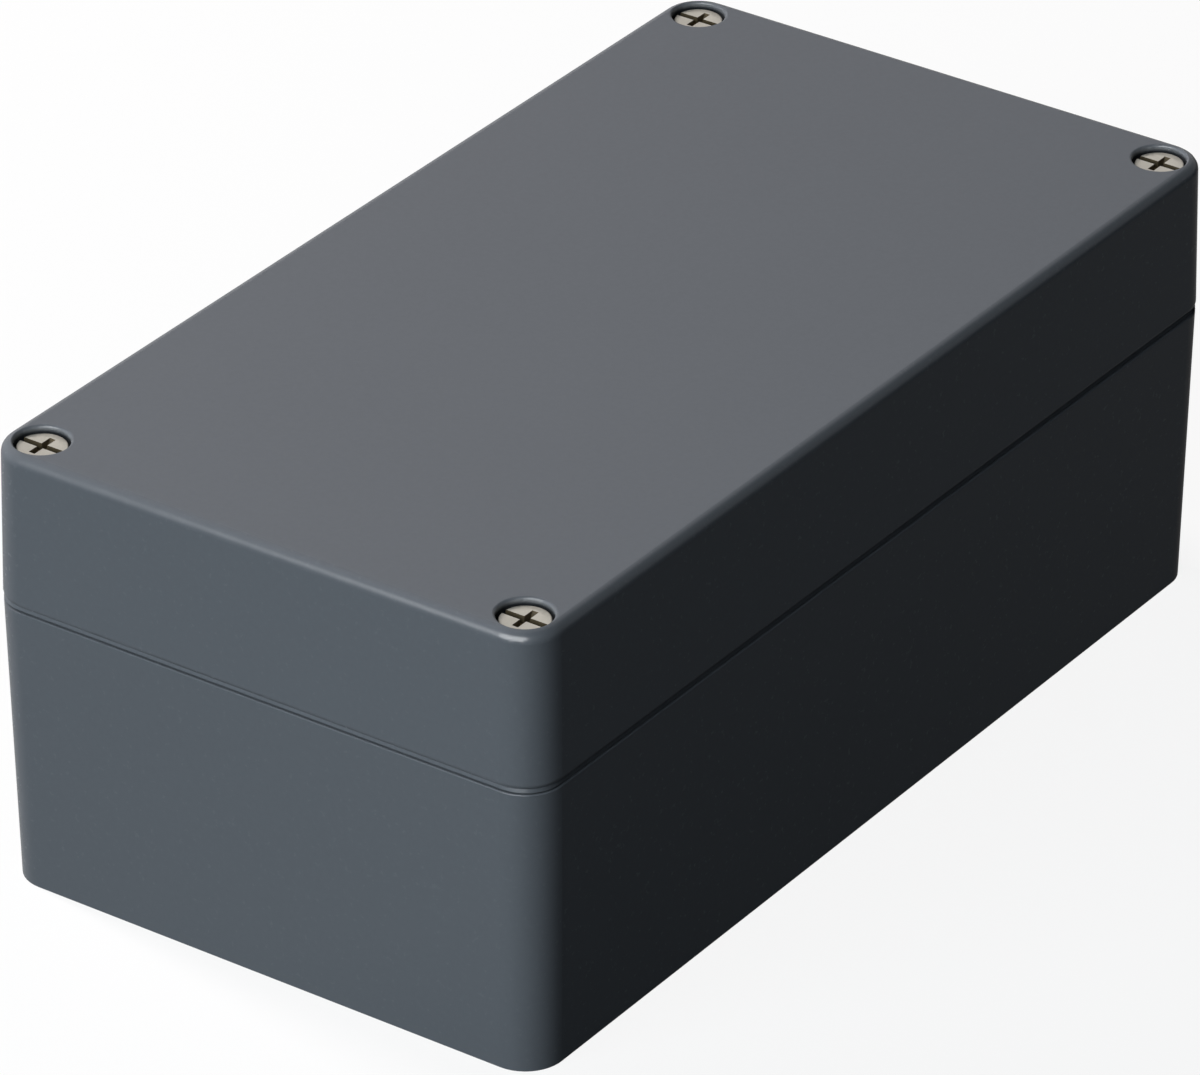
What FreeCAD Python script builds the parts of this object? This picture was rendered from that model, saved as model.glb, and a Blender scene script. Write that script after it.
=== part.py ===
import FreeCAD, Part
import math
import os

# Die cast aluminium box: a base and a lid, both drafted away from the parting plane.
# Millimetres, +Z up, origin at the centre of the underside.
# Left and right are -X and +X, front and rear are -Y and +Y.

# Outside of the closed box
length = 220.0
width = 120.0
base_height = 57.9
lid_height = 31.3
corner_radius = 7.7
base_draft = 1.0
lid_draft = 0.8
top_edge_radius = 2.1

# Parting line: over the base's lowered rim, the lid's flank stands back under the lid's rounded lip
base_rim_drop = 0.35
seam_depth = 0.6
flank_inset = 0.3
flank_height = 1.1
flank_draft = 16.0
lid_lip_rise = 0.44
lid_lip_radius = 1.06
lid_overhang = 0.08
base_edge_radius = 0.3

# Castings
wall = 4.2
floor_thickness = 4.5
roof_thickness = 4.2
core_draft = 0.8
core_corner_radius = 5.0
block_corner_radius = 6.0
core_floor_radius = 3.0
block_wall = 4.3

# Lid screws, M5 with a flat cheese head
screw_inset_x = 7.9
screw_inset_y = 7.8
thread_radius = 2.5
thread_pitch = 0.8
thread_turns = 10
neck_radius = 2.05
ring_groove_radius = 1.75
ring_groove_width = 1.1
head_radius = 4.63
head_height = 3.2
head_edge_radius = 0.25
head_sink = 1.2
slot_width = 1.25
slot_depth = 1.5
cross_length = 6.0
tip_chamfer = 0.6

# Room for the lid screws
counterbore_radius = 5.15
counterbore_lip_radius = 0.55
screw_passage_radius = 2.9
thread_clearance = 0.05
blind_hole_spare = 3.0
drill_point_half_angle = 59.0

# Retaining rings
ring_outer_radius = 3.6
ring_thickness = 1.0
ring_clearance = 0.05
ring_rest_height = 0.8
ring_pocket_clearance = 0.35

# Wall fixing holes, each in a well beside a lid screw
fixing_inset_x = 8.0
fixing_inset_y = 19.0
fixing_hole_radius = 3.25
fixing_well_radius = 5.4
fixing_floor = 6.0

# Cored pockets in the lid, over the wells
lid_pocket_radius = 4.6
lid_pocket_roof = 6.0

# Seal
tongue_width = 1.0
tongue_height = 1.0
groove_width = 2.0
groove_depth = 2.8

# Round marks that the ejector pins leave inside both castings
ejector_spacing_x = 90.0
ejector_spacing_y = 60.0
ejector_mark_radius = 3.5
ejector_mark_depth = 0.25

# Bosses for a mounting plate on the base's floor
plate_spacing_x = 160.0
plate_spacing_y = 88.0
plate_boss_radius = 4.5
plate_boss_height = 6.0
plate_hole_radius = 1.65
plate_hole_depth = 8.0

# Bosses for a top hat rail on the floor's centre line
rail_spacing = 184.0

# Earth terminal on the floor, M5
earth_x = -70.0
earth_y = 0.0
earth_boss_radius = 6.5
earth_boss_height = 5.0
earth_screw_radius = 2.5
earth_screw_length = 11.0
earth_head_radius = 4.75
earth_head_height = 3.0
earth_head_dome = 1.2
earth_hole_spare = 0.5
earth_washer_radius = 5.0
earth_washer_thickness = 1.0
earth_washer_hole_radius = 2.65
spring_washer_radius = 4.6
spring_washer_thickness = 1.2
spring_washer_gap = 0.8
clamp_size = 12.4
clamp_thickness = 2.0
clamp_corner_radius = 1.0
clamp_lip_width = 1.0
clamp_lip_drop = 0.8

# Worked out from the sizes above
height = base_height + lid_height
seat_height = height - head_sink - head_height
thread_length = thread_pitch * thread_turns
screw_x = length / 2 - screw_inset_x
screw_y = width / 2 - screw_inset_y
fixing_x = length / 2 - fixing_inset_x
fixing_y = width / 2 - fixing_inset_y
core_half_length = length / 2 - wall
core_half_width = width / 2 - wall
block_face_x = fixing_x - fixing_well_radius - block_wall
block_face_y = fixing_y - fixing_well_radius - block_wall
ring_base_height = base_height + ring_rest_height
ring_pocket_depth = ring_rest_height + ring_thickness + thread_length + ring_clearance
overrun = 1.0
same_place = 0.01
full_rise_share = 0.99
origin = FreeCAD.Vector(0, 0, 0)
up = FreeCAD.Vector(0, 0, 1)
along_x = FreeCAD.Vector(1, 0, 0)

corners = {
    "front_left": (-1, -1),
    "front_right": (1, -1),
    "rear_left": (-1, 1),
    "rear_right": (1, 1),
}


def inward(draft, rise):
    """How far a wall with this draft leans inwards over a rise."""
    return math.tan(math.radians(draft)) * rise


def round_middle(radius):
    """How far the middle of a quarter round lies from each of the two sides that it joins."""
    return radius * (1 - math.sqrt(0.5))


def drafted_block(half_x, half_y, z_wide, z_narrow, draft):
    """A block of the given half sizes at z_wide, which narrows towards z_narrow."""
    rise = abs(z_narrow - z_wide)
    lean = inward(draft, rise)
    wide = (half_x, half_y)
    narrow = (half_x - lean, half_y - lean)
    (low_x, low_y), (high_x, high_y) = (wide, narrow) if z_narrow > z_wide else (narrow, wide)
    block = Part.makeWedge(-low_x, 0, -low_y, -high_y, -high_x, low_x, rise, low_y, high_y, high_x)
    block.rotate(origin, along_x, 90)
    block.translate(FreeCAD.Vector(0, 0, min(z_wide, z_narrow)))
    return block


def upright_edges(shape):
    """The edges that run from the shape's bottom to its top."""
    full_rise = full_rise_share * shape.BoundBox.ZLength
    return [edge for edge in shape.Edges if edge.BoundBox.ZLength > full_rise]


def level_edges(shape, z):
    """The edges that lie in the plane at z."""
    found = []
    for edge in shape.Edges:
        reach = edge.BoundBox
        if abs(reach.ZMin - z) < same_place and abs(reach.ZMax - z) < same_place:
            found.append(edge)
    return found


def rounded_block(half_x, half_y, z_wide, z_narrow, draft, radius):
    """A drafted block with rounded upright corners."""
    block = drafted_block(half_x, half_y, z_wide, z_narrow, draft)
    return block.makeFillet(radius, upright_edges(block))


def seat_block(z_low, z_high):
    """The step behind the base's rim, on which the lid rests."""
    inset = lid_overhang + seam_depth
    return rounded_block(length / 2 - inset, width / 2 - inset, z_low, z_high, 0, corner_radius - inset)


def cross_block(grow, z_wide, z_narrow, draft):
    """The cross shape of the inside, which leaves room for a block at each corner.

    grow moves all of its walls outwards by that much."""
    long_arm = drafted_block(core_half_length + grow, block_face_y + grow, z_wide, z_narrow, draft)
    wide_arm = drafted_block(block_face_x + grow, core_half_width + grow, z_wide, z_narrow, draft)
    cross = long_arm.fuse(wide_arm).removeSplitter()
    beside_block = [edge.BoundBox.Center for edge in upright_edges(cross) if faces_block(edge, grow)]
    outer_corners = [edge for edge in upright_edges(cross) if not faces_block(edge, grow)]
    cross = cross.makeFillet(core_corner_radius + grow, outer_corners)
    inner_corners = []
    for edge in upright_edges(cross):
        if any(edge.BoundBox.Center.distanceToPoint(place) < same_place for place in beside_block):
            inner_corners.append(edge)
    return cross.makeFillet(block_corner_radius - grow, inner_corners)


def faces_block(edge, grow):
    """True for an upright edge where the two arms of the cross meet, at a corner block."""
    middle = edge.BoundBox.Center
    near_x = abs(abs(middle.x) - block_face_x - grow) < wall
    near_y = abs(abs(middle.y) - block_face_y - grow) < wall
    return near_x and near_y


def cylinder(radius, x, y, z_low, z_high):
    """An upright cylinder between two heights."""
    return Part.makeCylinder(radius, z_high - z_low, FreeCAD.Vector(x, y, z_low), up)


def box(size_x, size_y, x, y, z_low, z_high):
    """An upright box centred on x, y, between two heights."""
    return Part.makeBox(size_x, size_y, z_high - z_low,
                        FreeCAD.Vector(x - size_x / 2, y - size_y / 2, z_low))


def turned(profile, x, y):
    """A solid of revolution about the upright line at x, y, from (radius, z) edges."""
    face = Part.Face(Part.Wire(profile))
    solid = face.revolve(origin, up, 360)
    solid.translate(FreeCAD.Vector(x, y, 0))
    return solid


def line(a, b):
    """A straight profile edge between two (radius, z) points."""
    return Part.LineSegment(FreeCAD.Vector(a[0], 0, a[1]), FreeCAD.Vector(b[0], 0, b[1])).toShape()


def arc(a, middle, b):
    """A profile arc through three (radius, z) points."""
    points = [FreeCAD.Vector(p[0], 0, p[1]) for p in (a, middle, b)]
    return Part.Arc(*points).toShape()


def base_casting():
    """The lower casting: drafted shell, corner blocks, bosses and seal tongue."""
    half_x = length / 2 - lid_overhang
    half_y = width / 2 - lid_overhang
    rim = base_height - base_rim_drop
    body = rounded_block(half_x, half_y, rim, 0, base_draft, corner_radius)
    body = body.makeFillet(base_edge_radius, level_edges(body, rim))
    body = body.fuse(seat_block(rim, base_height)).removeSplitter()

    core = cross_block(0, base_height, floor_thickness, core_draft)
    core = core.makeFillet(core_floor_radius, level_edges(core, floor_thickness))
    body = body.cut(core)

    tongue_middle = wall / 2
    tongue = cross_block(tongue_middle + tongue_width / 2, base_height, base_height + tongue_height, 0)
    tongue = tongue.cut(cross_block(tongue_middle - tongue_width / 2, base_height,
                                    base_height + tongue_height, 0))
    body = body.fuse(tongue)

    bosses = []
    for x in (-plate_spacing_x / 2, plate_spacing_x / 2):
        for y in (-plate_spacing_y / 2, plate_spacing_y / 2):
            bosses.append(boss(x, y, plate_boss_radius, plate_boss_height))
    for x in (-rail_spacing / 2, rail_spacing / 2):
        bosses.append(boss(x, 0, plate_boss_radius, plate_boss_height))
    bosses.append(boss(earth_x, earth_y, earth_boss_radius, earth_boss_height))
    body = body.fuse(bosses).removeSplitter()

    cuts = ejector_marks(floor_thickness - ejector_mark_depth)
    for x in (-plate_spacing_x / 2, plate_spacing_x / 2):
        for y in (-plate_spacing_y / 2, plate_spacing_y / 2):
            cuts.append(blind_hole(x, y, floor_thickness + plate_boss_height,
                                   plate_hole_radius, plate_hole_depth))
    for x in (-rail_spacing / 2, rail_spacing / 2):
        cuts.append(blind_hole(x, 0, floor_thickness + plate_boss_height,
                               plate_hole_radius, plate_hole_depth))
    cuts.append(blind_hole(earth_x, earth_y, floor_thickness + earth_boss_height,
                           earth_screw_radius + thread_clearance,
                           earth_screw_length - earth_stack() + earth_hole_spare))
    for side_x, side_y in corners.values():
        cuts.append(blind_hole(side_x * screw_x, side_y * screw_y, base_height,
                               thread_radius + thread_clearance, thread_length + blind_hole_spare))
        cuts.append(cylinder(fixing_hole_radius, side_x * fixing_x, side_y * fixing_y,
                             -overrun, base_height))
        cuts.append(cylinder(fixing_well_radius, side_x * fixing_x, side_y * fixing_y,
                             fixing_floor, base_height + overrun))
    return body.cut(cuts)


def ejector_marks(z_low):
    """The shallow round hollows of the four ejector pins, from z_low upwards."""
    marks = []
    for side_x, side_y in corners.values():
        marks.append(cylinder(ejector_mark_radius, side_x * ejector_spacing_x / 2,
                              side_y * ejector_spacing_y / 2, z_low, z_low + ejector_mark_depth))
    return marks


def boss(x, y, radius, rise):
    """A round boss that stands on the base's floor, with a drafted wall."""
    foot = radius + inward(core_draft, rise)
    return Part.makeCone(foot, radius, rise, FreeCAD.Vector(x, y, floor_thickness), up)


def blind_hole(x, y, mouth, radius, depth):
    """A drilled hole, open upwards, with the cone that the drill leaves."""
    cone = radius / math.tan(math.radians(drill_point_half_angle))
    hole = cylinder(radius, x, y, mouth - depth, mouth)
    point = Part.makeCone(0, radius, cone, FreeCAD.Vector(x, y, mouth - depth - cone), up)
    return hole.fuse(point)


def lid_casting():
    """The upper casting: drafted shell, wells for the screw heads, seal groove and pockets."""
    half_x = length / 2
    half_y = width / 2
    lip_low = base_height + lid_lip_rise
    lean = inward(lid_draft, lid_lip_rise)
    upper = rounded_block(half_x - lean, half_y - lean, lip_low, height, lid_draft, corner_radius)
    upper = upper.makeFillet(top_edge_radius, level_edges(upper, height))
    upper = upper.makeFillet(lid_lip_radius, level_edges(upper, lip_low))
    flank = rounded_block(half_x - flank_inset, half_y - flank_inset, base_height,
                          base_height + flank_height, flank_draft, corner_radius - flank_inset)
    body = upper.fuse(flank).removeSplitter()

    roof = height - roof_thickness
    core = cross_block(0, base_height, roof, core_draft)
    core = core.makeFillet(core_floor_radius, level_edges(core, roof))
    groove_middle = wall / 2
    groove = cross_block(groove_middle + groove_width / 2, base_height, base_height + groove_depth, 0)
    groove = groove.cut(cross_block(groove_middle - groove_width / 2, base_height,
                                    base_height + groove_depth, 0))
    body = body.cut([core, groove])

    cuts = ejector_marks(roof)
    for side_x, side_y in corners.values():
        x = side_x * screw_x
        y = side_y * screw_y
        cuts.append(head_well(x, y))
        cuts.append(cylinder(screw_passage_radius, x, y, base_height, seat_height))
        cuts.append(cylinder(ring_outer_radius + ring_pocket_clearance, x, y,
                             base_height, base_height + ring_pocket_depth))
        cuts.append(cored_pocket(side_x, side_y))
    return body.cut(cuts)


def head_well(x, y):
    """The counterbore for a screw head, flared at the lid's surface by its rounded lip."""
    radius = counterbore_radius
    lip = counterbore_lip_radius
    turn = round_middle(lip)
    edges = [
        line((0, seat_height), (radius, seat_height)),
        line((radius, seat_height), (radius, height - lip)),
        arc((radius, height - lip), (radius + turn, height - turn), (radius + lip, height)),
        line((radius + lip, height), (radius + lip, height + overrun)),
        line((radius + lip, height + overrun), (0, height + overrun)),
        line((0, height + overrun), (0, seat_height)),
    ]
    return turned(edges, x, y)


def cored_pocket(side_x, side_y):
    """The pocket that saves metal in the lid's corner, over a fixing well."""
    depth = lid_height - lid_pocket_roof
    mouth = FreeCAD.Vector(side_x * fixing_x, side_y * fixing_y, base_height)
    return Part.makeCone(lid_pocket_radius, lid_pocket_radius - inward(core_draft, depth), depth, mouth, up)


def lid_gasket():
    """The endless seal in the lid's groove, pressed by the base's tongue."""
    low = base_height + tongue_height
    high = base_height + groove_depth
    outer = cross_block(wall / 2 + groove_width / 2, low, high, 0)
    return outer.cut(cross_block(wall / 2 - groove_width / 2, low, high, 0))


def lid_screw(x, y):
    """A captive screw: slotted and crossed cheese head, neck with ring groove, thread, tip."""
    head_top = height - head_sink
    thread_top = base_height
    tip = thread_top - thread_length
    groove_low = ring_base_height - (ring_groove_width - ring_thickness) / 2
    groove_high = groove_low + ring_groove_width
    turn = round_middle(head_edge_radius)
    edges = [
        line((0, tip), (thread_radius - tip_chamfer, tip)),
        line((thread_radius - tip_chamfer, tip), (thread_radius, tip + tip_chamfer)),
        line((thread_radius, tip + tip_chamfer), (thread_radius, thread_top)),
        line((thread_radius, thread_top), (neck_radius, thread_top)),
        line((neck_radius, thread_top), (neck_radius, groove_low)),
        line((neck_radius, groove_low), (ring_groove_radius, groove_low)),
        line((ring_groove_radius, groove_low), (ring_groove_radius, groove_high)),
        line((ring_groove_radius, groove_high), (neck_radius, groove_high)),
        line((neck_radius, groove_high), (neck_radius, seat_height)),
        line((neck_radius, seat_height), (head_radius, seat_height)),
        line((head_radius, seat_height), (head_radius, head_top - head_edge_radius)),
        arc((head_radius, head_top - head_edge_radius), (head_radius - turn, head_top - turn),
            (head_radius - head_edge_radius, head_top)),
        line((head_radius - head_edge_radius, head_top), (0, head_top)),
        line((0, head_top), (0, tip)),
    ]
    slot_floor = head_top - slot_depth
    slot = box(slot_width, 2 * head_radius + overrun, x, y, slot_floor, head_top + overrun)
    cross = box(cross_length, slot_width, x, y, slot_floor, head_top + overrun)
    return turned(edges, x, y).cut([slot, cross])


def retaining_ring(x, y):
    """The ring in the screw's groove, which stops the loosened screw falling out of the lid."""
    ring = cylinder(ring_outer_radius, x, y, ring_base_height, ring_base_height + ring_thickness)
    hole = cylinder(ring_groove_radius + ring_clearance, x, y,
                    ring_base_height, ring_base_height + ring_thickness)
    return ring.cut(hole)


def earth_stack():
    """Height of what lies between the earth boss and the earth screw's head."""
    return earth_washer_thickness + clamp_thickness + spring_washer_thickness


def earth_height(rise):
    """A height above the earth boss."""
    return floor_thickness + earth_boss_height + rise


def earth_flat_washer():
    """The flat washer on the earth boss."""
    low = earth_height(0)
    high = low + earth_washer_thickness
    disc = cylinder(earth_washer_radius, earth_x, earth_y, low, high)
    return disc.cut(cylinder(earth_washer_hole_radius, earth_x, earth_y, low, high))


def earth_clamp_plate():
    """The square saddle that holds the conductor, with two lips turned down."""
    low = earth_height(earth_washer_thickness)
    high = low + clamp_thickness
    plate = box(clamp_size, clamp_size, earth_x, earth_y, low, high)
    plate = plate.makeFillet(clamp_corner_radius, upright_edges(plate))
    lip_reach = (clamp_size - clamp_lip_width) / 2
    lip_length = clamp_size - 2 * clamp_corner_radius
    lips = [box(clamp_lip_width, lip_length, earth_x + side * lip_reach, earth_y, low - clamp_lip_drop, low)
            for side in (-1, 1)]
    hole = cylinder(earth_washer_hole_radius, earth_x, earth_y, low, high)
    return plate.fuse(lips).removeSplitter().cut(hole)


def earth_spring_washer():
    """The split spring washer under the earth screw's head, pressed flat."""
    low = earth_height(earth_washer_thickness + clamp_thickness)
    high = low + spring_washer_thickness
    disc = cylinder(spring_washer_radius, earth_x, earth_y, low, high)
    disc = disc.cut(cylinder(earth_washer_hole_radius, earth_x, earth_y, low, high))
    split = box(2 * spring_washer_radius, spring_washer_gap, earth_x + spring_washer_radius, earth_y,
                low, high)
    return disc.cut(split)


def earth_screw():
    """The earth terminal's pan head screw, with a slot."""
    seat = earth_height(earth_stack())
    top = seat + earth_head_height
    dome = earth_head_dome
    turn = round_middle(dome)
    tip = seat - earth_screw_length
    edges = [
        line((0, tip), (earth_screw_radius - tip_chamfer, tip)),
        line((earth_screw_radius - tip_chamfer, tip), (earth_screw_radius, tip + tip_chamfer)),
        line((earth_screw_radius, tip + tip_chamfer), (earth_screw_radius, seat)),
        line((earth_screw_radius, seat), (earth_head_radius, seat)),
        line((earth_head_radius, seat), (earth_head_radius, top - dome)),
        arc((earth_head_radius, top - dome), (earth_head_radius - turn, top - turn),
            (earth_head_radius - dome, top)),
        line((earth_head_radius - dome, top), (0, top)),
        line((0, top), (0, tip)),
    ]
    slot = box(2 * earth_head_radius + overrun, slot_width, earth_x, earth_y,
               top - slot_depth, top + overrun)
    return turned(edges, earth_x, earth_y).cut(slot)


def all_parts():
    """Every node's name and its shape."""
    parts = {
        "base_casting": base_casting(),
        "lid_casting": lid_casting(),
        "lid_gasket": lid_gasket(),
        "earth_flat_washer": earth_flat_washer(),
        "earth_clamp_plate": earth_clamp_plate(),
        "earth_spring_washer": earth_spring_washer(),
        "earth_screw": earth_screw(),
    }
    for name, (side_x, side_y) in corners.items():
        x = side_x * screw_x
        y = side_y * screw_y
        parts["lid_screw_" + name] = lid_screw(x, y)
        parts["retaining_ring_" + name] = retaining_ring(x, y)
    return parts


os.makedirs("parts", exist_ok=True)
for name, shape in all_parts().items():
    shape.exportStep("parts/" + name + ".step")
    print(name, len(shape.Solids), round(shape.Volume, 1), shape.isValid())
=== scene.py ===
import math

import bmesh
import bpy
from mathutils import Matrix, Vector

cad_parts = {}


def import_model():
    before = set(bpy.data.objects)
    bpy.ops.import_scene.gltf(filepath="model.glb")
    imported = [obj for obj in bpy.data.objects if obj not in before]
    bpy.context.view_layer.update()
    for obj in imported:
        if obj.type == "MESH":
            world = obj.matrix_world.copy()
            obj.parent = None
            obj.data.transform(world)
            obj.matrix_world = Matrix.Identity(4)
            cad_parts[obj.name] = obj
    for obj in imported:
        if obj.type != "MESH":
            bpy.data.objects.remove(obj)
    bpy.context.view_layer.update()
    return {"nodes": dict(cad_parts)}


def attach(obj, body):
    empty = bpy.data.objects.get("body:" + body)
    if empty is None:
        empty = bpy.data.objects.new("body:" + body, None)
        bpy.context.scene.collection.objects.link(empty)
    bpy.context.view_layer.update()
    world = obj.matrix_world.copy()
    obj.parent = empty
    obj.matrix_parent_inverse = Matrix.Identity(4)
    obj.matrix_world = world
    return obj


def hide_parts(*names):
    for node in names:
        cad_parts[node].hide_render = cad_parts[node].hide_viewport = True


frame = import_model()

# The closed box stands on the floor at z = 0. Metres throughout.
NODES = frame["nodes"]
CORNERS = {
    "front_left": (-1, -1),
    "front_right": (1, -1),
    "rear_left": (-1, 1),
    "rear_right": (1, 1),
}
EARTH_PIECES = ("earth_flat_washer", "earth_clamp_plate", "earth_spring_washer", "earth_screw")
WHITE = (1.0, 1.0, 1.0)

# Camera, from a fit to the photograph's edges
IMAGE_WIDTH = 1200
FOCAL_PIXELS = 8685.1
CAMERA_AZIMUTH = math.radians(-54.98)
CAMERA_ELEVATION = math.radians(30.026)
CAMERA_DISTANCE = 1.58736
CAMERA_TARGET = Vector((-0.01123, -0.00406, 0.045))
CAMERA_CLIP = (0.1, 20.0)
SENSOR_WIDTH = 36.0

# Lamps: azimuth, elevation and half angle in degrees as the box sees them, and the light that a
# face turned to the lamp receives, where pi lights a face as its colour is written
LAMP_DISTANCE = 1.8
LAMPS = {
    "left_softbox": (178.0, 27.0, 27.6, 3.14, (0.837, 0.938, 1.0)),
    "rear_lamp": (88.0, 34.6, 4.5, 3.0, (1.0, 0.93, 0.909)),
}

# Strip that only adds gloss: azimuth, elevation and half angles in degrees, and its radiance
GLINT_AZIMUTH = 186.0
GLINT_ELEVATION = 28.5
GLINT_HALF_WIDTH = 30.0
GLINT_HALF_HEIGHT = 19.5
GLINT_RADIANCE = 43.5

# Weak light from the surroundings
FILL = 0.02
FILL_COLOUR = (0.6, 0.75, 1.0)

# Floor, a hair under the box so that the two never share a plane
FLOOR_HALF = 6.0
FLOOR_DROP = 0.0001
FLOOR_COLOUR = (0.93, 0.93, 0.93)
FLOOR_ROUGHNESS = 0.9
FLOOR_GLOW = 0.88
FLOOR_BOUNCE = (0.05, 0.05, 0.05)

# Painted light and shade in what the coat mirrors of the floor: bright on the left, where the lamps light
# it, dimmer on the right, where the box shades it, and there only in a band beside the box
MIRROR_LEFT = 0.5
MIRROR_RIGHT = (0.05, 0.26)
MIRROR_RIGHT_X = (-0.1, 0.3)
MIRROR_FADE_Y = (-0.25, -0.17)
MIRROR_TURN = (0.05, 0.12)

# Castings, as the solids have them
HALF_LENGTH = 0.110
HALF_WIDTH = 0.060
PARTING = 0.0579
HEIGHT = 0.0892
CORNER_RADIUS = 0.0077
BASE_DRAFT = math.tan(math.radians(1.0))
LID_DRAFT = math.tan(math.radians(0.8))

# Seal in the lid's groove
WALL = 0.0042
SEAL_WIDTH = 0.0019
SEAL_LOW = PARTING + 0.001
SEAL_HIGH = PARTING + 0.00275
SEAL_CROWN = 0.00018
SEAL_ROUND = 0.0004
SEAL_STEPS = 10
SEAL_SHARP_ANGLE = 50
BLOCK_FACE_X = 0.0923
BLOCK_FACE_Y = 0.0313
CORE_CORNER_RADIUS = 0.005
BLOCK_CORNER_RADIUS = 0.006

# Lid screws
SCREW_X = HALF_LENGTH - 0.0079
SCREW_Y = HALF_WIDTH - 0.0078
HEAD_TOP = HEIGHT - 0.0012
SEAT = HEAD_TOP - 0.0032
WELL_RADIUS = 0.00515
HEAD_RADIUS = 0.00463
HEAD_EDGE = 0.00025
HEAD_EDGE_STEPS = 4
NECK_RADIUS = 0.00205
RING_GROOVE = (PARTING + 0.00075, PARTING + 0.00185)
RING_GROOVE_RADIUS = 0.00175
SCREW_SIDES = 72
SCREW_SHARP_ANGLE = 32

# Thread, with its profile as shares of the pitch and of the depth
THREAD_RADIUS = 0.0025
THREAD_ROOT = 0.00202
THREAD_PITCH = 0.0008
THREAD_LENGTH = 0.008
THREAD_RUN = 0.0006
THREAD_PROFILE = ((0.0, 0.0), (0.12, 0.0), (0.44, 1.0), (0.56, 1.0), (0.88, 0.0))

# Recess in the screw's head. The cross and pit cutters are a little narrower than the slot, so
# that no two cuts share a plane.
SLOT_WIDTH = 0.00125
SLOT_DEPTH = 0.0015
SLOT_REACH = 1.2 * HEAD_RADIUS
CROSS_LENGTH = 0.006
CROSS_TAPER = 0.0007
CROSS_HALF_WIDTHS = (0.998 * SLOT_WIDTH / 2, 0.98 * SLOT_WIDTH / 2)
PIT_RADIUS = 0.0013
PIT_DEPTH = 0.0022
PIT_HALF_WIDTHS = (0.96 * SLOT_WIDTH / 2, 0.5 * SLOT_WIDTH / 2)
CUT_ABOVE = 0.001
CUT_OVERLAP = 0.00005
RECESS_BEVEL = 0.00005
RECESS_RIM_ANGLE = 60
WELD_DISTANCE = 1e-7
LEVEL_TOLERANCE = 1e-6

# Noises of the finishes: scale, detail and roughness. In the finishes below, a shade is a factor on
# the colour, and a bump is a strength and a distance.
COAT_SPECKLE = (900.0, 3.0, 0.6)
COAT_CLOUD = (18.0, 2.0, 0.5)
COAT_PEEL = (420.0, 2.0, 0.45)
BARE_FLOW = (60.0, 4.0, 0.6)
BARE_GRAIN = (1400.0, 2.0, 0.5)
STEEL_WEAR = (2600.0, 3.0, 0.6)
PLATED_WEAR = (1500.0, 3.0, 0.6)
NYLON_CLOUD = (700.0, 2.0, 0.5)
RUBBER_PORES = (3200.0, 3.0, 0.7)

# Ranges of a noise's values over which a finish changes
WIDE = (0.3, 0.7)
NARROW = (0.35, 0.65)

# Coat: how deep it reaches and where it has faded out, linear colour, shades, roughness, gloss, bump
COATED_DEPTH = 0.0016
COATED_FADE = 1.2 * COATED_DEPTH
COAT_COLOUR = (0.132, 0.141, 0.155)
SPECKLE_SHADES = (0.98, 1.02)
CLOUD_SHADE = 1.05
CLOUD_SHARE = 0.12
COAT_ROUGHNESS = (0.22, 0.28)
COAT_GLOSS = 0.08
DULL_GLOSS = 0.03
COAT_BUMP = (0.04, 0.00003)

# The flat top is matt so that it mirrors no lamp, and its colour is a little lighter: a painted sheen in
# place of the reflection it loses
TOP_PAINTED_SHEEN = (1.243, 1.233, 1.216)
TOP_START = HEIGHT - 0.00003
TOP_FULL = HEIGHT - 0.000002

# Screw wells: the painted shade's factor on the colour, the reach from the screw's axis, the lowest
# coated height, and the heights below which the wall is painted darker as shade and made dull
WELL_PAINTED_SHADE = 0.2
WELL_REACH = WELL_RADIUS + 0.0002
WELL_FLOOR = SEAT - 0.0001
WELL_SHADE_START = HEIGHT - 0.0004
WELL_DULL_START = HEIGHT - 0.0003

# Parting line: painted shade in its gap, more painted shade on the front side, which the lamps leave
# dark, and where the seam is dull: shades, and ranges of z and y
SEAM_GAP_PAINTED_SHADE = 0.8
SEAM_GAP = (PARTING - 0.00045, PARTING + 0.00005)
SEAM_SIDES = (PARTING - 0.0005, PARTING + 0.00085)
SEAM_FRONT_PAINTED_SHADE = 0.75
SEAM_FRONT_SHADE_Z = (PARTING - 0.0002, PARTING + 0.001)
SEAM_DULL_Z = (PARTING - 0.0007, PARTING + 0.001)
SEAM_FRONT_SHADE_Y = (-0.0594, -0.0554)

# Bare cast aluminium
BARE_COLOUR = (0.58, 0.59, 0.60)
BARE_SHADE = 0.86
BARE_METALLIC = 0.12
BARE_ROUGHNESS = (0.42, 0.58)
BARE_RELIEF = 8.0

# Screw steel, with the pitch of its turning marks, and the recess, painted dark brown as shade
STEEL_COLOUR = (0.45, 0.42, 0.365)
STEEL_SHADE = 0.9
STEEL_METALLIC = 0.55
STEEL_ROUGHNESS = (0.34, 0.46)
STEEL_GLOSS = 0.5
STEEL_BUMP = (0.12, 0.00001)
TURNING_PITCH = 0.00016
TURNING_RELIEF = 0.5
WEAR_RELIEF = 1.5
RECESS_SHADE_COLOUR = (0.078, 0.056, 0.026)
RECESS_ROUGHNESS = 0.7
RECESS_GLOSS = 0.06
RECESS_FLOOR = SEAT + 0.0002
RECESS_START = (0.000002, 0.000008)

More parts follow.
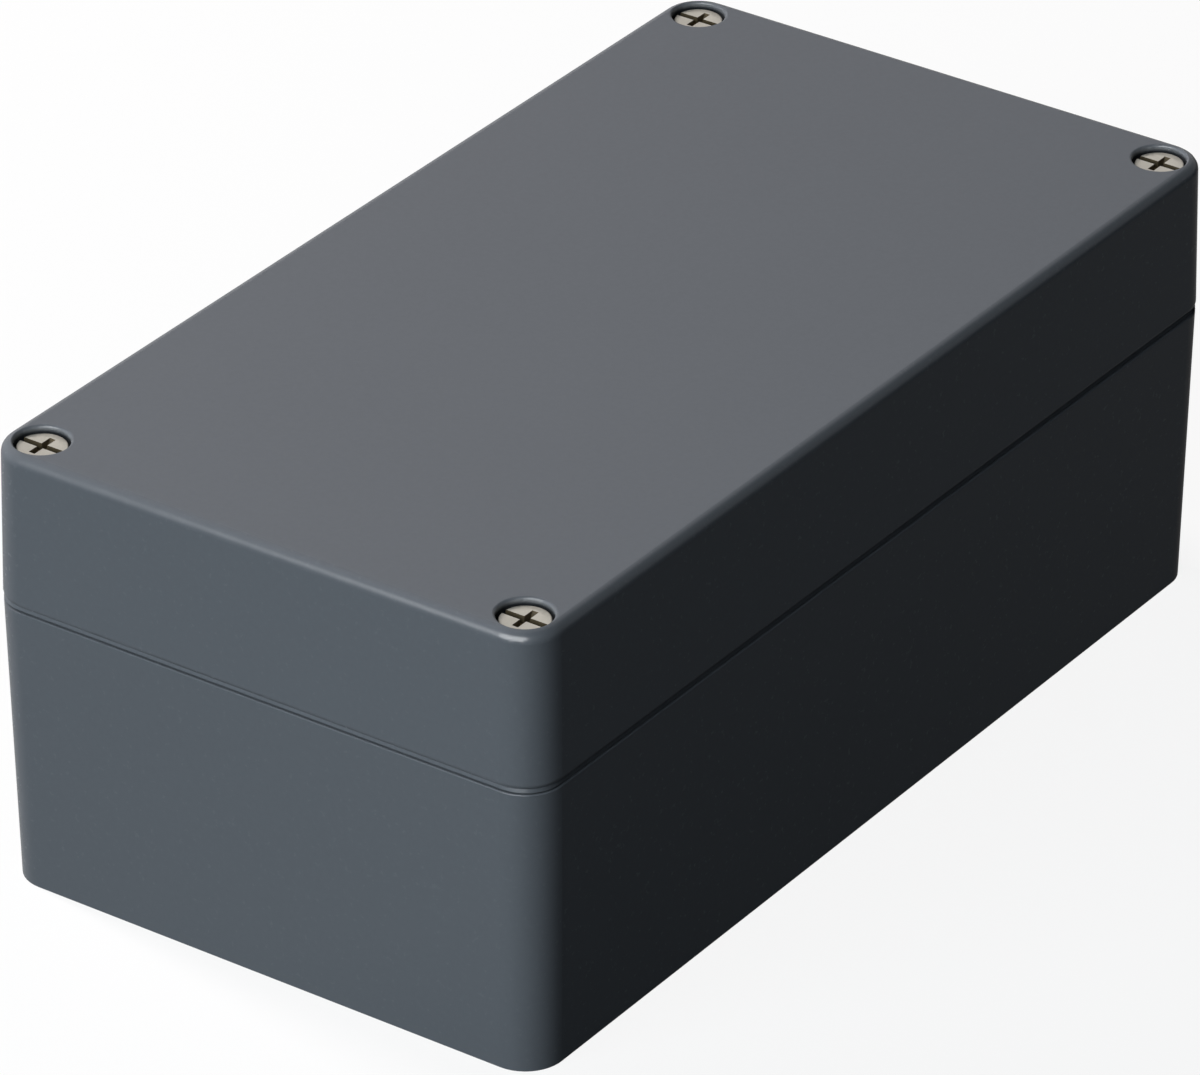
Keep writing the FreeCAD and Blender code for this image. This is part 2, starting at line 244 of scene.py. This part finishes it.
# Other finishes
PLATED_COLOUR = (0.62, 0.63, 0.64)
PLATED_SHADE = 0.88
PLATED_METALLIC = 0.9
PLATED_ROUGHNESS = (0.26, 0.42)
PLATED_BUMP = (0.1, 0.00001)
NYLON_COLOUR = (0.62, 0.60, 0.55)
NYLON_SHADE = 0.92
NYLON_ROUGHNESS = (0.42, 0.55)
NYLON_SUBSURFACE = 0.1
NYLON_SUBSURFACE_DEPTH = 0.0005
RUBBER_COLOUR = (0.022, 0.022, 0.024)
RUBBER_SHADE = 0.7
RUBBER_ROUGHNESS = (0.72, 0.9)
RUBBER_BUMP = (0.35, 0.00003)

# The Mix node repeats its socket names for each kind of data, so these go by number
MIX_NUMBERS = (2, 3)
MIX_COLOURS = (6, 7)
MIXED_NUMBER = 0
MIXED_COLOUR = 2


class Tree:
    """A short way to write a node tree."""

    def __init__(self, tree):
        self.tree = tree

    def add(self, kind, **settings):
        node = self.tree.nodes.new(kind)
        for key, value in settings.items():
            setattr(node, key, value)
        return node

    def put(self, socket, value):
        if hasattr(value, "is_output"):
            self.tree.links.new(value, socket)
        else:
            socket.default_value = value

    def math(self, operation, *values):
        node = self.add("ShaderNodeMath", operation=operation)
        for socket, value in zip(node.inputs, values):
            self.put(socket, value)
        return node.outputs[0]

    def noise(self, vector, scale, detail, roughness):
        node = self.add("ShaderNodeTexNoise")
        self.put(node.inputs["Vector"], vector)
        self.put(node.inputs["Scale"], scale)
        self.put(node.inputs["Detail"], detail)
        self.put(node.inputs["Roughness"], roughness)
        return node.outputs["Fac"]

    def ramp(self, value, low, high, out_low=0.0, out_high=1.0):
        node = self.add("ShaderNodeMapRange")
        self.put(node.inputs["Value"], value)
        self.put(node.inputs["From Min"], low)
        self.put(node.inputs["From Max"], high)
        self.put(node.inputs["To Min"], out_low)
        self.put(node.inputs["To Max"], out_high)
        return node.outputs["Result"]

    def mix(self, factor, a, b, kind="MIX"):
        node = self.add("ShaderNodeMix", data_type="RGBA", blend_type=kind)
        self.put(node.inputs["Factor"], factor)
        for socket, value in zip(MIX_COLOURS, (a, b)):
            self.put(node.inputs[socket], (*value, 1.0) if isinstance(value, tuple) else value)
        return node.outputs[MIXED_COLOUR]

    def blend(self, factor, a, b):
        node = self.add("ShaderNodeMix", data_type="FLOAT")
        self.put(node.inputs["Factor"], factor)
        for socket, value in zip(MIX_NUMBERS, (a, b)):
            self.put(node.inputs[socket], value)
        return node.outputs[MIXED_NUMBER]

    def switch(self, factor, first, second):
        node = self.add("ShaderNodeMixShader")
        self.put(node.inputs[0], factor)
        self.put(node.inputs[1], first)
        self.put(node.inputs[2], second)
        return node.outputs[0]

    def bump(self, height, strength, distance):
        node = self.add("ShaderNodeBump")
        self.put(node.inputs["Height"], height)
        self.put(node.inputs["Strength"], strength)
        self.put(node.inputs["Distance"], distance)
        return node.outputs["Normal"]


def new_material(name):
    """A node material, its tree and its Principled shader."""
    material = bpy.data.materials.new(name)
    material.use_nodes = True
    tree = Tree(material.node_tree)
    return material, tree, material.node_tree.nodes["Principled BSDF"]


def shade(colour, factor):
    """A colour made lighter or darker."""
    return tuple(factor * part for part in colour)


def object_place(tree):
    """The surface point in the part's own frame, and its three numbers."""
    place = tree.add("ShaderNodeTexCoord").outputs["Object"]
    parts = tree.add("ShaderNodeSeparateXYZ")
    tree.put(parts.inputs[0], place)
    return place, parts.outputs[0], parts.outputs[1], parts.outputs[2]


def length_of(tree, a, b):
    """The length of the flat vector (a, b)."""
    squares = [tree.math("MULTIPLY", part, part) for part in (a, b)]
    return tree.math("SQRT", tree.math("ADD", *squares))


def band(tree, value, low, high):
    """1 where a value lies between two limits, 0 elsewhere."""
    above = tree.math("GREATER_THAN", value, low)
    below = tree.math("LESS_THAN", value, high)
    return tree.math("MULTIPLY", above, below)


def screw_offsets(tree, x, y):
    """How far a point lies from the nearest screw's axis along x and along y."""
    return [tree.math("ABSOLUTE", tree.math("SUBTRACT", tree.math("ABSOLUTE", value), axis))
            for value, axis in ((x, SCREW_X), (y, SCREW_Y))]


def screw_reach(tree, x, y):
    """The distance from the nearest screw's axis."""
    return length_of(tree, *screw_offsets(tree, x, y))


def outer_skin(tree, x, y, z):
    """1 within COATED_DEPTH of the closed box's outside and in the screw wells, 0 further in."""
    under = tree.math("MAXIMUM", tree.math("SUBTRACT", PARTING, z), 0.0)
    over = tree.math("MAXIMUM", tree.math("SUBTRACT", z, PARTING), 0.0)
    lean = tree.math("ADD", tree.math("MULTIPLY", under, BASE_DRAFT),
                     tree.math("MULTIPLY", over, LID_DRAFT))
    sides = []
    for value, half in ((x, HALF_LENGTH), (y, HALF_WIDTH)):
        reach = tree.math("SUBTRACT", half - CORNER_RADIUS, lean)
        sides.append(tree.math("SUBTRACT", tree.math("ABSOLUTE", value), reach))
    corner = length_of(tree, *[tree.math("MAXIMUM", side, 0.0) for side in sides])
    flat = tree.math("MINIMUM", tree.math("MAXIMUM", *sides), 0.0)
    wall = tree.math("SUBTRACT", tree.math("ADD", corner, flat), CORNER_RADIUS)
    top = tree.math("SUBTRACT", z, HEIGHT)
    bottom = tree.math("SUBTRACT", 0.0, z)
    depth = tree.math("MAXIMUM", wall, tree.math("MAXIMUM", top, bottom))
    outside = tree.ramp(depth, -COATED_FADE, -COATED_DEPTH)
    near_screw = tree.math("LESS_THAN", screw_reach(tree, x, y), WELL_REACH)
    in_well = tree.math("MULTIPLY", near_screw, tree.math("GREATER_THAN", z, WELL_FLOOR))
    return tree.math("MAXIMUM", outside, in_well)


def coated_casting():
    """Grey powder coat outside, bare cast aluminium on the inner faces."""
    material, tree, shader = new_material("powder_coat")
    place, x, y, z = object_place(tree)
    skin = outer_skin(tree, x, y, z)
    speckle = tree.noise(place, *COAT_SPECKLE)
    cloud = tree.noise(place, *COAT_CLOUD)
    peel = tree.noise(place, *COAT_PEEL)
    flow = tree.noise(place, *BARE_FLOW)
    grain = tree.noise(place, *BARE_GRAIN)

    flat_top = tree.ramp(z, TOP_START, TOP_FULL)
    near_screw = tree.math("LESS_THAN", screw_reach(tree, x, y), WELL_REACH)
    well_painted_shade = tree.math("MULTIPLY", near_screw, tree.ramp(z, WELL_SHADE_START, HEAD_TOP))
    in_well = tree.math("MULTIPLY", near_screw, tree.math("LESS_THAN", z, WELL_DULL_START))
    on_front = tree.ramp(y, *SEAM_FRONT_SHADE_Y, 1.0, 0.0)
    seam_front_shade = tree.math("MULTIPLY", band(tree, z, *SEAM_FRONT_SHADE_Z), on_front)

    dark, light = (shade(COAT_COLOUR, factor) for factor in SPECKLE_SHADES)
    coat = tree.mix(tree.ramp(speckle, *WIDE), dark, light)
    coat = tree.mix(tree.ramp(cloud, *NARROW, 0.0, CLOUD_SHARE), coat, shade(COAT_COLOUR, CLOUD_SHADE))
    # Painted sheen: the flat top's colour is lightened in place of its reflection
    coat = tree.mix(flat_top, coat, TOP_PAINTED_SHEEN, "MULTIPLY")
    # Painted shade: the coat is darkened down the screw wells towards the head's top
    coat = tree.mix(well_painted_shade, coat, shade(COAT_COLOUR, WELL_PAINTED_SHADE))
    # Painted shade in the parting line's gap
    coat = tree.mix(band(tree, z, *SEAM_GAP), coat, shade(COAT_COLOUR, SEAM_GAP_PAINTED_SHADE))
    # More painted shade along the parting line on the front side, which the lamps leave dark
    coat = tree.mix(seam_front_shade, coat, shade(COAT_COLOUR, SEAM_FRONT_PAINTED_SHADE))
    bare = tree.mix(tree.ramp(flow, *WIDE), shade(BARE_COLOUR, BARE_SHADE), BARE_COLOUR)
    tree.put(shader.inputs["Base Color"], tree.mix(skin, bare, coat))
    tree.put(shader.inputs["Metallic"], tree.ramp(skin, 0.0, 1.0, BARE_METALLIC, 0.0))

    bare_rough = tree.ramp(grain, *WIDE, *BARE_ROUGHNESS)
    coat_rough = tree.ramp(speckle, *WIDE, *COAT_ROUGHNESS)
    tree.put(shader.inputs["Roughness"], tree.blend(skin, bare_rough, coat_rough))

    dull = tree.math("MAXIMUM", in_well, band(tree, z, *SEAM_SIDES))
    gloss = tree.blend(dull, COAT_GLOSS, DULL_GLOSS)
    no_gloss = tree.math("MULTIPLY", band(tree, z, *SEAM_DULL_Z), on_front)
    gloss = tree.blend(no_gloss, gloss, 0.0)
    tree.put(shader.inputs["Specular IOR Level"], tree.blend(flat_top, gloss, 0.0))

    height = tree.blend(skin, tree.math("MULTIPLY", grain, BARE_RELIEF), peel)
    tree.put(shader.inputs["Normal"], tree.bump(height, *COAT_BUMP))
    return material


def screw_steel():
    """Stainless steel with a turned face, and a recess painted dark brown as shade."""
    material, tree, shader = new_material("screw_steel")
    place, x, y, z = object_place(tree)
    off_x, off_y = screw_offsets(tree, x, y)
    turns = tree.math("MULTIPLY", length_of(tree, off_x, off_y), 2 * math.pi / TURNING_PITCH)
    rings = tree.math("SINE", turns)
    wear = tree.noise(place, *STEEL_WEAR)

    half_width = SLOT_WIDTH / 2 + RECESS_BEVEL
    half_length = CROSS_LENGTH / 2 + RECESS_BEVEL
    in_slot = tree.math("LESS_THAN", off_x, half_width)
    in_cross = tree.math("MULTIPLY", tree.math("LESS_THAN", off_y, half_width),
                         tree.math("LESS_THAN", off_x, half_length))
    in_head = tree.math("GREATER_THAN", z, RECESS_FLOOR)
    recess = tree.math("MULTIPLY", tree.math("MAXIMUM", in_slot, in_cross), in_head)
    sunk = tree.ramp(tree.math("SUBTRACT", HEAD_TOP, z), *RECESS_START)
    recess = tree.math("MULTIPLY", recess, sunk)

    face = tree.mix(tree.ramp(wear, *WIDE), shade(STEEL_COLOUR, STEEL_SHADE), STEEL_COLOUR)
    # Painted shade: the recess and its rim are coloured dark brown
    tree.put(shader.inputs["Base Color"], tree.mix(recess, face, RECESS_SHADE_COLOUR))
    rough = tree.ramp(wear, *WIDE, *STEEL_ROUGHNESS)
    tree.put(shader.inputs["Roughness"], tree.blend(recess, rough, RECESS_ROUGHNESS))
    tree.put(shader.inputs["Metallic"], tree.ramp(recess, 0.0, 1.0, STEEL_METALLIC, 0.0))
    gloss = tree.ramp(recess, 0.0, 1.0, STEEL_GLOSS, RECESS_GLOSS)
    tree.put(shader.inputs["Specular IOR Level"], gloss)
    height = tree.math("ADD", tree.math("MULTIPLY", rings, TURNING_RELIEF),
                       tree.math("MULTIPLY", wear, WEAR_RELIEF))
    tree.put(shader.inputs["Normal"], tree.bump(height, *STEEL_BUMP))
    return material


def speckled(name, noise, spread, colour, darkest, roughness, bump=None):
    """A finish whose colour, roughness and relief all follow one noise."""
    material, tree, shader = new_material(name)
    place, _, _, _ = object_place(tree)
    grain = tree.noise(place, *noise)
    tree.put(shader.inputs["Base Color"],
             tree.mix(tree.ramp(grain, *spread), shade(colour, darkest), colour))
    tree.put(shader.inputs["Roughness"], tree.ramp(grain, *spread, *roughness))
    if bump:
        tree.put(shader.inputs["Normal"], tree.bump(grain, *bump))
    return material, shader


def plated_steel():
    """Zinc plated steel with a faint grain."""
    material, shader = speckled("plated_steel", PLATED_WEAR, WIDE, PLATED_COLOUR, PLATED_SHADE,
                                PLATED_ROUGHNESS, PLATED_BUMP)
    shader.inputs["Metallic"].default_value = PLATED_METALLIC
    return material


def nylon():
    """Natural nylon, slightly cloudy."""
    material, shader = speckled("ring_nylon", NYLON_CLOUD, WIDE, NYLON_COLOUR, NYLON_SHADE,
                                NYLON_ROUGHNESS)
    shader.inputs["Subsurface Weight"].default_value = NYLON_SUBSURFACE
    shader.inputs["Subsurface Scale"].default_value = NYLON_SUBSURFACE_DEPTH
    return material


def rubber():
    """Dark foam rubber with fine pores."""
    material, _ = speckled("seal_rubber", RUBBER_PORES, NARROW, RUBBER_COLOUR, RUBBER_SHADE,
                           RUBBER_ROUGHNESS, RUBBER_BUMP)
    return material


def dress(node, material):
    """Gives a CAD node its finish."""
    slots = NODES[node].data.materials
    slots.clear()
    slots.append(material)


def add_object(name, data):
    """A new object in the scene."""
    obj = bpy.data.objects.new(name, data)
    bpy.context.scene.collection.objects.link(obj)
    return obj


def mesh_from(name, shape):
    """A mesh made of a bmesh, which is freed."""
    mesh = bpy.data.meshes.new(name)
    shape.to_mesh(mesh)
    shape.free()
    return mesh


def finish_mesh(name, shape, material, sharp_angle):
    """A new object from a bmesh, shaded smooth between its sharp edges."""
    bmesh.ops.recalc_face_normals(shape, faces=shape.faces)
    mesh = mesh_from(name, shape)
    mesh.polygons.foreach_set("use_smooth", [True] * len(mesh.polygons))
    mesh.set_sharp_from_angle(angle=math.radians(sharp_angle))
    mesh.materials.append(material)
    return add_object(name, mesh)


def screw_rows():
    """The screw's outline as rows from its tip to the head's edge, each a (radius, z) pair per side."""
    tip = PARTING - THREAD_LENGTH
    rows = []
    turns = round(THREAD_LENGTH / THREAD_PITCH)
    for turn in range(-1, turns + 1):
        for phase, rise in THREAD_PROFILE:
            row = []
            for side in range(SCREW_SIDES):
                z = tip + (turn + phase + side / SCREW_SIDES) * THREAD_PITCH
                z = min(max(z, tip), PARTING)
                run_in = min((z - tip) / THREAD_RUN, (PARTING - z) / THREAD_RUN, 1.0)
                row.append((THREAD_ROOT + (THREAD_RADIUS - THREAD_ROOT) * rise * run_in, z))
            rows.append(row)
    turned = [(NECK_RADIUS, PARTING), (NECK_RADIUS, RING_GROOVE[0]),
              (RING_GROOVE_RADIUS, RING_GROOVE[0]), (RING_GROOVE_RADIUS, RING_GROOVE[1]),
              (NECK_RADIUS, RING_GROOVE[1]), (NECK_RADIUS, SEAT), (HEAD_RADIUS, SEAT)]
    for step in range(HEAD_EDGE_STEPS + 1):
        angle = step / HEAD_EDGE_STEPS * math.pi / 2
        turned.append((HEAD_RADIUS - HEAD_EDGE * (1 - math.cos(angle)),
                       HEAD_TOP - HEAD_EDGE * (1 - math.sin(angle))))
    return rows + [[pair] * SCREW_SIDES for pair in turned]


def closed_skin(rows):
    """A bmesh over rows of (radius, z) pairs about the z axis, with both ends closed."""
    shape = bmesh.new()
    rings = []
    for row in rows:
        ring = []
        for side, (radius, z) in enumerate(row):
            angle = side / SCREW_SIDES * 2 * math.pi
            ring.append(shape.verts.new((radius * math.cos(angle), radius * math.sin(angle), z)))
        rings.append(ring)
    for low, high in zip(rings, rings[1:]):
        for side in range(SCREW_SIDES):
            after = (side + 1) % SCREW_SIDES
            shape.faces.new((low[side], low[after], high[after], high[side]))
    shape.faces.new(list(reversed(rings[0])))
    shape.faces.new(rings[-1])
    return shape


def tapered_block(half_x, half_y, low_half_x, low_half_y, low, high):
    """A bmesh block with its own half widths at its top and at its bottom."""
    shape = bmesh.new()
    corners = ((-1, -1), (1, -1), (1, 1), (-1, 1))
    bottom = [shape.verts.new((sx * low_half_x, sy * low_half_y, low)) for sx, sy in corners]
    top = [shape.verts.new((sx * half_x, sy * half_y, high)) for sx, sy in corners]
    shape.faces.new(list(reversed(bottom)))
    shape.faces.new(top)
    for side in range(4):
        after = (side + 1) % 4
        shape.faces.new((bottom[side], bottom[after], top[after], top[side]))
    return shape


def cut_from(obj, cutter_shape):
    """Cuts a bmesh shape out of an object's mesh."""
    cutter_mesh = mesh_from("cutter", cutter_shape)
    cutter = add_object("cutter", cutter_mesh)
    cut = obj.modifiers.new("cut", "BOOLEAN")
    cut.operation = "DIFFERENCE"
    cut.solver = "EXACT"
    cut.object = cutter
    graph = bpy.context.evaluated_depsgraph_get()
    result = bpy.data.meshes.new_from_object(obj.evaluated_get(graph))
    obj.modifiers.clear()
    old = obj.data
    obj.data = result
    bpy.data.meshes.remove(old)
    bpy.data.objects.remove(cutter)
    bpy.data.meshes.remove(cutter_mesh)


def screw_mesh():
    """One lid screw about the z axis: helical thread, ring groove, slotted and crossed head."""
    shape = closed_skin(screw_rows())
    bmesh.ops.remove_doubles(shape, verts=shape.verts, dist=WELD_DISTANCE)
    bmesh.ops.recalc_face_normals(shape, faces=shape.faces)
    blank = add_object("screw_blank", mesh_from("screw_blank", shape))
    above = HEAD_TOP + CUT_ABOVE
    slot_floor = HEAD_TOP - SLOT_DEPTH
    half_slot = SLOT_WIDTH / 2
    cross_top = CROSS_LENGTH / 2 + CROSS_TAPER * CUT_ABOVE / SLOT_DEPTH
    cross_floor = CROSS_LENGTH / 2 - CROSS_TAPER
    cut_from(blank, tapered_block(half_slot, SLOT_REACH, half_slot, SLOT_REACH, slot_floor, above))
    cut_from(blank, tapered_block(cross_top, CROSS_HALF_WIDTHS[0], cross_floor, CROSS_HALF_WIDTHS[1],
                                  slot_floor, above))
    cut_from(blank, tapered_block(PIT_RADIUS, PIT_HALF_WIDTHS[0], PIT_RADIUS / 2, PIT_HALF_WIDTHS[1],
                                  HEAD_TOP - PIT_DEPTH, slot_floor + CUT_OVERLAP))
    shape = bmesh.new()
    shape.from_mesh(blank.data)
    bpy.data.objects.remove(blank)
    rim = []
    for edge in shape.edges:
        level = all(abs(vertex.co.z - HEAD_TOP) < LEVEL_TOLERANCE for vertex in edge.verts)
        if level and edge.is_manifold and edge.calc_face_angle() > math.radians(RECESS_RIM_ANGLE):
            rim.append(edge)
    bmesh.ops.bevel(shape, geom=rim, offset=RECESS_BEVEL, segments=2, profile=0.5, affect="EDGES")
    return shape


def lid_screws(material):
    """The four detailed lid screws, each on its own body."""
    shape = screw_mesh()
    for corner, (side_x, side_y) in CORNERS.items():
        copy = shape.copy()
        bmesh.ops.translate(copy, verts=copy.verts, vec=(side_x * SCREW_X, side_y * SCREW_Y, 0))
        screw = finish_mesh("detailed_screw_" + corner, copy, material, SCREW_SHARP_ANGLE)
        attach(screw, "screw_" + corner)
        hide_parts("lid_screw_" + corner)
    shape.free()


def seal_path():
    """The centre line of the seal's groove: a cross with rounded corners, as (place, outward) pairs."""
    far_x = HALF_LENGTH - WALL / 2
    far_y = HALF_WIDTH - WALL / 2
    near_x = BLOCK_FACE_X + WALL / 2
    near_y = BLOCK_FACE_Y + WALL / 2
    outer = CORE_CORNER_RADIUS + WALL / 2
    inner = BLOCK_CORNER_RADIUS - WALL / 2
    quarter = [((far_x - outer, near_y - outer), outer, 0.0, 1),
               ((near_x + inner, near_y + inner), inner, -math.pi / 2, -1),
               ((near_x - outer, far_y - outer), outer, 0.0, 1)]
    path = []
    for turn in range(4):
        arcs = []
        for (x, y), radius, start, bend in quarter:
            for step in range(SEAL_STEPS + 1):
                angle = start + bend * step / SEAL_STEPS * math.pi / 2
                out_x, out_y = math.cos(angle), math.sin(angle)
                arcs.append(((x + radius * out_x, y + radius * out_y), (bend * out_x, bend * out_y)))
        if turn % 2 == 1:
            arcs = [((-p[0], p[1]), (-n[0], n[1])) for p, n in reversed(arcs)]
        if turn >= 2:
            arcs = [((-p[0], -p[1]), (-n[0], -n[1])) for p, n in arcs]
        path += arcs
    return path


def seal(material):
    """The lid's endless foam rubber seal, crowned where the base's tongue presses it."""
    half = SEAL_WIDTH / 2
    shoulder = SEAL_LOW + SEAL_ROUND
    under = SEAL_LOW + SEAL_CROWN
    near_crown = SEAL_LOW + SEAL_CROWN / 3
    section = [(-half, SEAL_HIGH), (-half, shoulder), (-half + SEAL_ROUND / 2, under),
               (-half / 2, near_crown), (0.0, SEAL_LOW), (half / 2, near_crown),
               (half - SEAL_ROUND / 2, under), (half, shoulder), (half, SEAL_HIGH)]
    shape = bmesh.new()
    loops = []
    for (x, y), (out_x, out_y) in seal_path():
        loops.append([shape.verts.new((x + out_x * reach, y + out_y * reach, z)) for reach, z in section])
    for index, loop in enumerate(loops):
        after = loops[(index + 1) % len(loops)]
        for point in range(len(section)):
            beside = (point + 1) % len(section)
            shape.faces.new((loop[point], loop[beside], after[beside], after[point]))
    gasket = finish_mesh("foam_seal", shape, material, SEAL_SHARP_ANGLE)
    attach(gasket, "lid")
    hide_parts("lid_gasket")


def floor_material():
    """Pale to the camera, dark to the light that would bounce, and a painted glow to mirror rays."""
    material, tree, shader = new_material("floor")
    shader.inputs["Base Color"].default_value = (*FLOOR_COLOUR, 1.0)
    shader.inputs["Roughness"].default_value = FLOOR_ROUGHNESS
    shader.inputs["Specular IOR Level"].default_value = 0.0
    rays = tree.add("ShaderNodeLightPath")
    bounce = tree.add("ShaderNodeBsdfDiffuse")
    bounce.inputs["Color"].default_value = (*FLOOR_BOUNCE, 1.0)
    glow = tree.add("ShaderNodeEmission")
    pale = tree.switch(FLOOR_GLOW, shader.outputs[0], glow.outputs[0])
    for_camera = tree.switch(rays.outputs["Is Camera Ray"], bounce.outputs[0], pale)

    _, x, y, _ = object_place(tree)
    on_right = tree.math("MULTIPLY", tree.ramp(x, *MIRROR_RIGHT_X, *MIRROR_RIGHT),
                         tree.ramp(y, *MIRROR_FADE_Y))
    leftward = tree.ramp(tree.math("SUBTRACT", y, x), *MIRROR_TURN)
    mirror_glow = tree.add("ShaderNodeEmission")
    tree.put(mirror_glow.inputs["Strength"], tree.blend(leftward, on_right, MIRROR_LEFT))
    mirrored = tree.math("MAXIMUM", rays.outputs["Is Glossy Ray"], rays.outputs["Is Transmission Ray"])
    surface = tree.switch(mirrored, for_camera, mirror_glow.outputs[0])
    tree.put(material.node_tree.nodes["Material Output"].inputs["Surface"], surface)
    return material


def floor():
    """A pale floor that shows the shadow but sends little light back to the box."""
    shape = bmesh.new()
    bmesh.ops.create_grid(shape, x_segments=1, y_segments=1, size=FLOOR_HALF)
    obj = add_object("floor", mesh_from("floor", shape))
    obj.location.z = -FLOOR_DROP
    obj.data.materials.append(floor_material())


def aimed_lamp(name, data, azimuth, elevation):
    """Places a lamp at the given angles, turned to the box."""
    around = math.radians(azimuth)
    up = math.radians(elevation)
    way = Vector((math.cos(around) * math.cos(up), math.sin(around) * math.cos(up), math.sin(up)))
    lamp = add_object(name, data)
    lamp.location = Vector((0, 0, HEIGHT / 2)) + way * LAMP_DISTANCE
    lamp.rotation_mode = "QUATERNION"
    lamp.rotation_quaternion = (-way).to_track_quat("-Z", "Y")
    return lamp


def lamp_span(half_angle):
    """How wide a lamp is that the box sees under twice the given angle in degrees."""
    return 2 * LAMP_DISTANCE * math.tan(math.radians(half_angle))


def lamps():
    """A wide softbox on the left, a smaller lamp behind, and a strip that only adds gloss."""
    for name, (azimuth, elevation, half_angle, light, colour) in LAMPS.items():
        data = bpy.data.lights.new(name, "AREA")
        data.shape = "DISK"
        data.size = lamp_span(half_angle)
        data.energy = light * math.pi * LAMP_DISTANCE ** 2
        data.color = colour
        lamp = aimed_lamp(name, data, azimuth, elevation)
        lamp.visible_glossy = name != "rear_lamp"
    strip = bpy.data.lights.new("glint_strip", "AREA")
    strip.shape = "RECTANGLE"
    strip.size = lamp_span(GLINT_HALF_WIDTH)
    strip.size_y = lamp_span(GLINT_HALF_HEIGHT)
    strip.energy = GLINT_RADIANCE * math.pi * strip.size * strip.size_y
    glint = aimed_lamp("glint_strip", strip, GLINT_AZIMUTH, GLINT_ELEVATION)
    glint.visible_diffuse = False


def world():
    """A white backdrop for camera and mirror rays, with a weak cool fill for the rest."""
    made = bpy.data.worlds.new("studio")
    bpy.context.scene.world = made
    made.use_nodes = True
    tree = Tree(made.node_tree)
    fill = made.node_tree.nodes["Background"]
    fill.inputs["Color"].default_value = (*FILL_COLOUR, 1.0)
    fill.inputs["Strength"].default_value = FILL
    white = tree.add("ShaderNodeBackground")
    white.inputs["Color"].default_value = (*WHITE, 1.0)
    rays = tree.add("ShaderNodeLightPath")
    seen = tree.math("MAXIMUM", rays.outputs["Is Camera Ray"], rays.outputs["Is Glossy Ray"])
    seen = tree.math("MAXIMUM", seen, rays.outputs["Is Transmission Ray"])
    surface = tree.switch(seen, fill.outputs[0], white.outputs[0])
    tree.put(made.node_tree.nodes["World Output"].inputs["Surface"], surface)


def camera():
    """The photograph's viewpoint: a long lens from the front left."""
    data = bpy.data.cameras.new("camera")
    data.sensor_fit = "HORIZONTAL"
    data.sensor_width = SENSOR_WIDTH
    data.lens = SENSOR_WIDTH * FOCAL_PIXELS / IMAGE_WIDTH
    data.clip_start, data.clip_end = CAMERA_CLIP
    obj = add_object("camera", data)
    flat = math.cos(CAMERA_ELEVATION)
    back = Vector((math.sin(CAMERA_AZIMUTH) * flat, -math.cos(CAMERA_AZIMUTH) * flat,
                   math.sin(CAMERA_ELEVATION)))
    obj.location = CAMERA_TARGET + back * CAMERA_DISTANCE
    obj.rotation_mode = "QUATERNION"
    obj.rotation_quaternion = (-back).to_track_quat("-Z", "Y")
    bpy.context.scene.camera = obj


coat = coated_casting()
dress("base_casting", coat)
dress("lid_casting", coat)
steel = screw_steel()
plated = plated_steel()
for piece in EARTH_PIECES:
    dress(piece, plated)
ring_finish = nylon()
for corner in CORNERS:
    dress("retaining_ring_" + corner, ring_finish)
lid_screws(steel)
seal(rubber())

floor()
world()
lamps()
camera()
bpy.context.scene.view_settings.view_transform = "Standard"
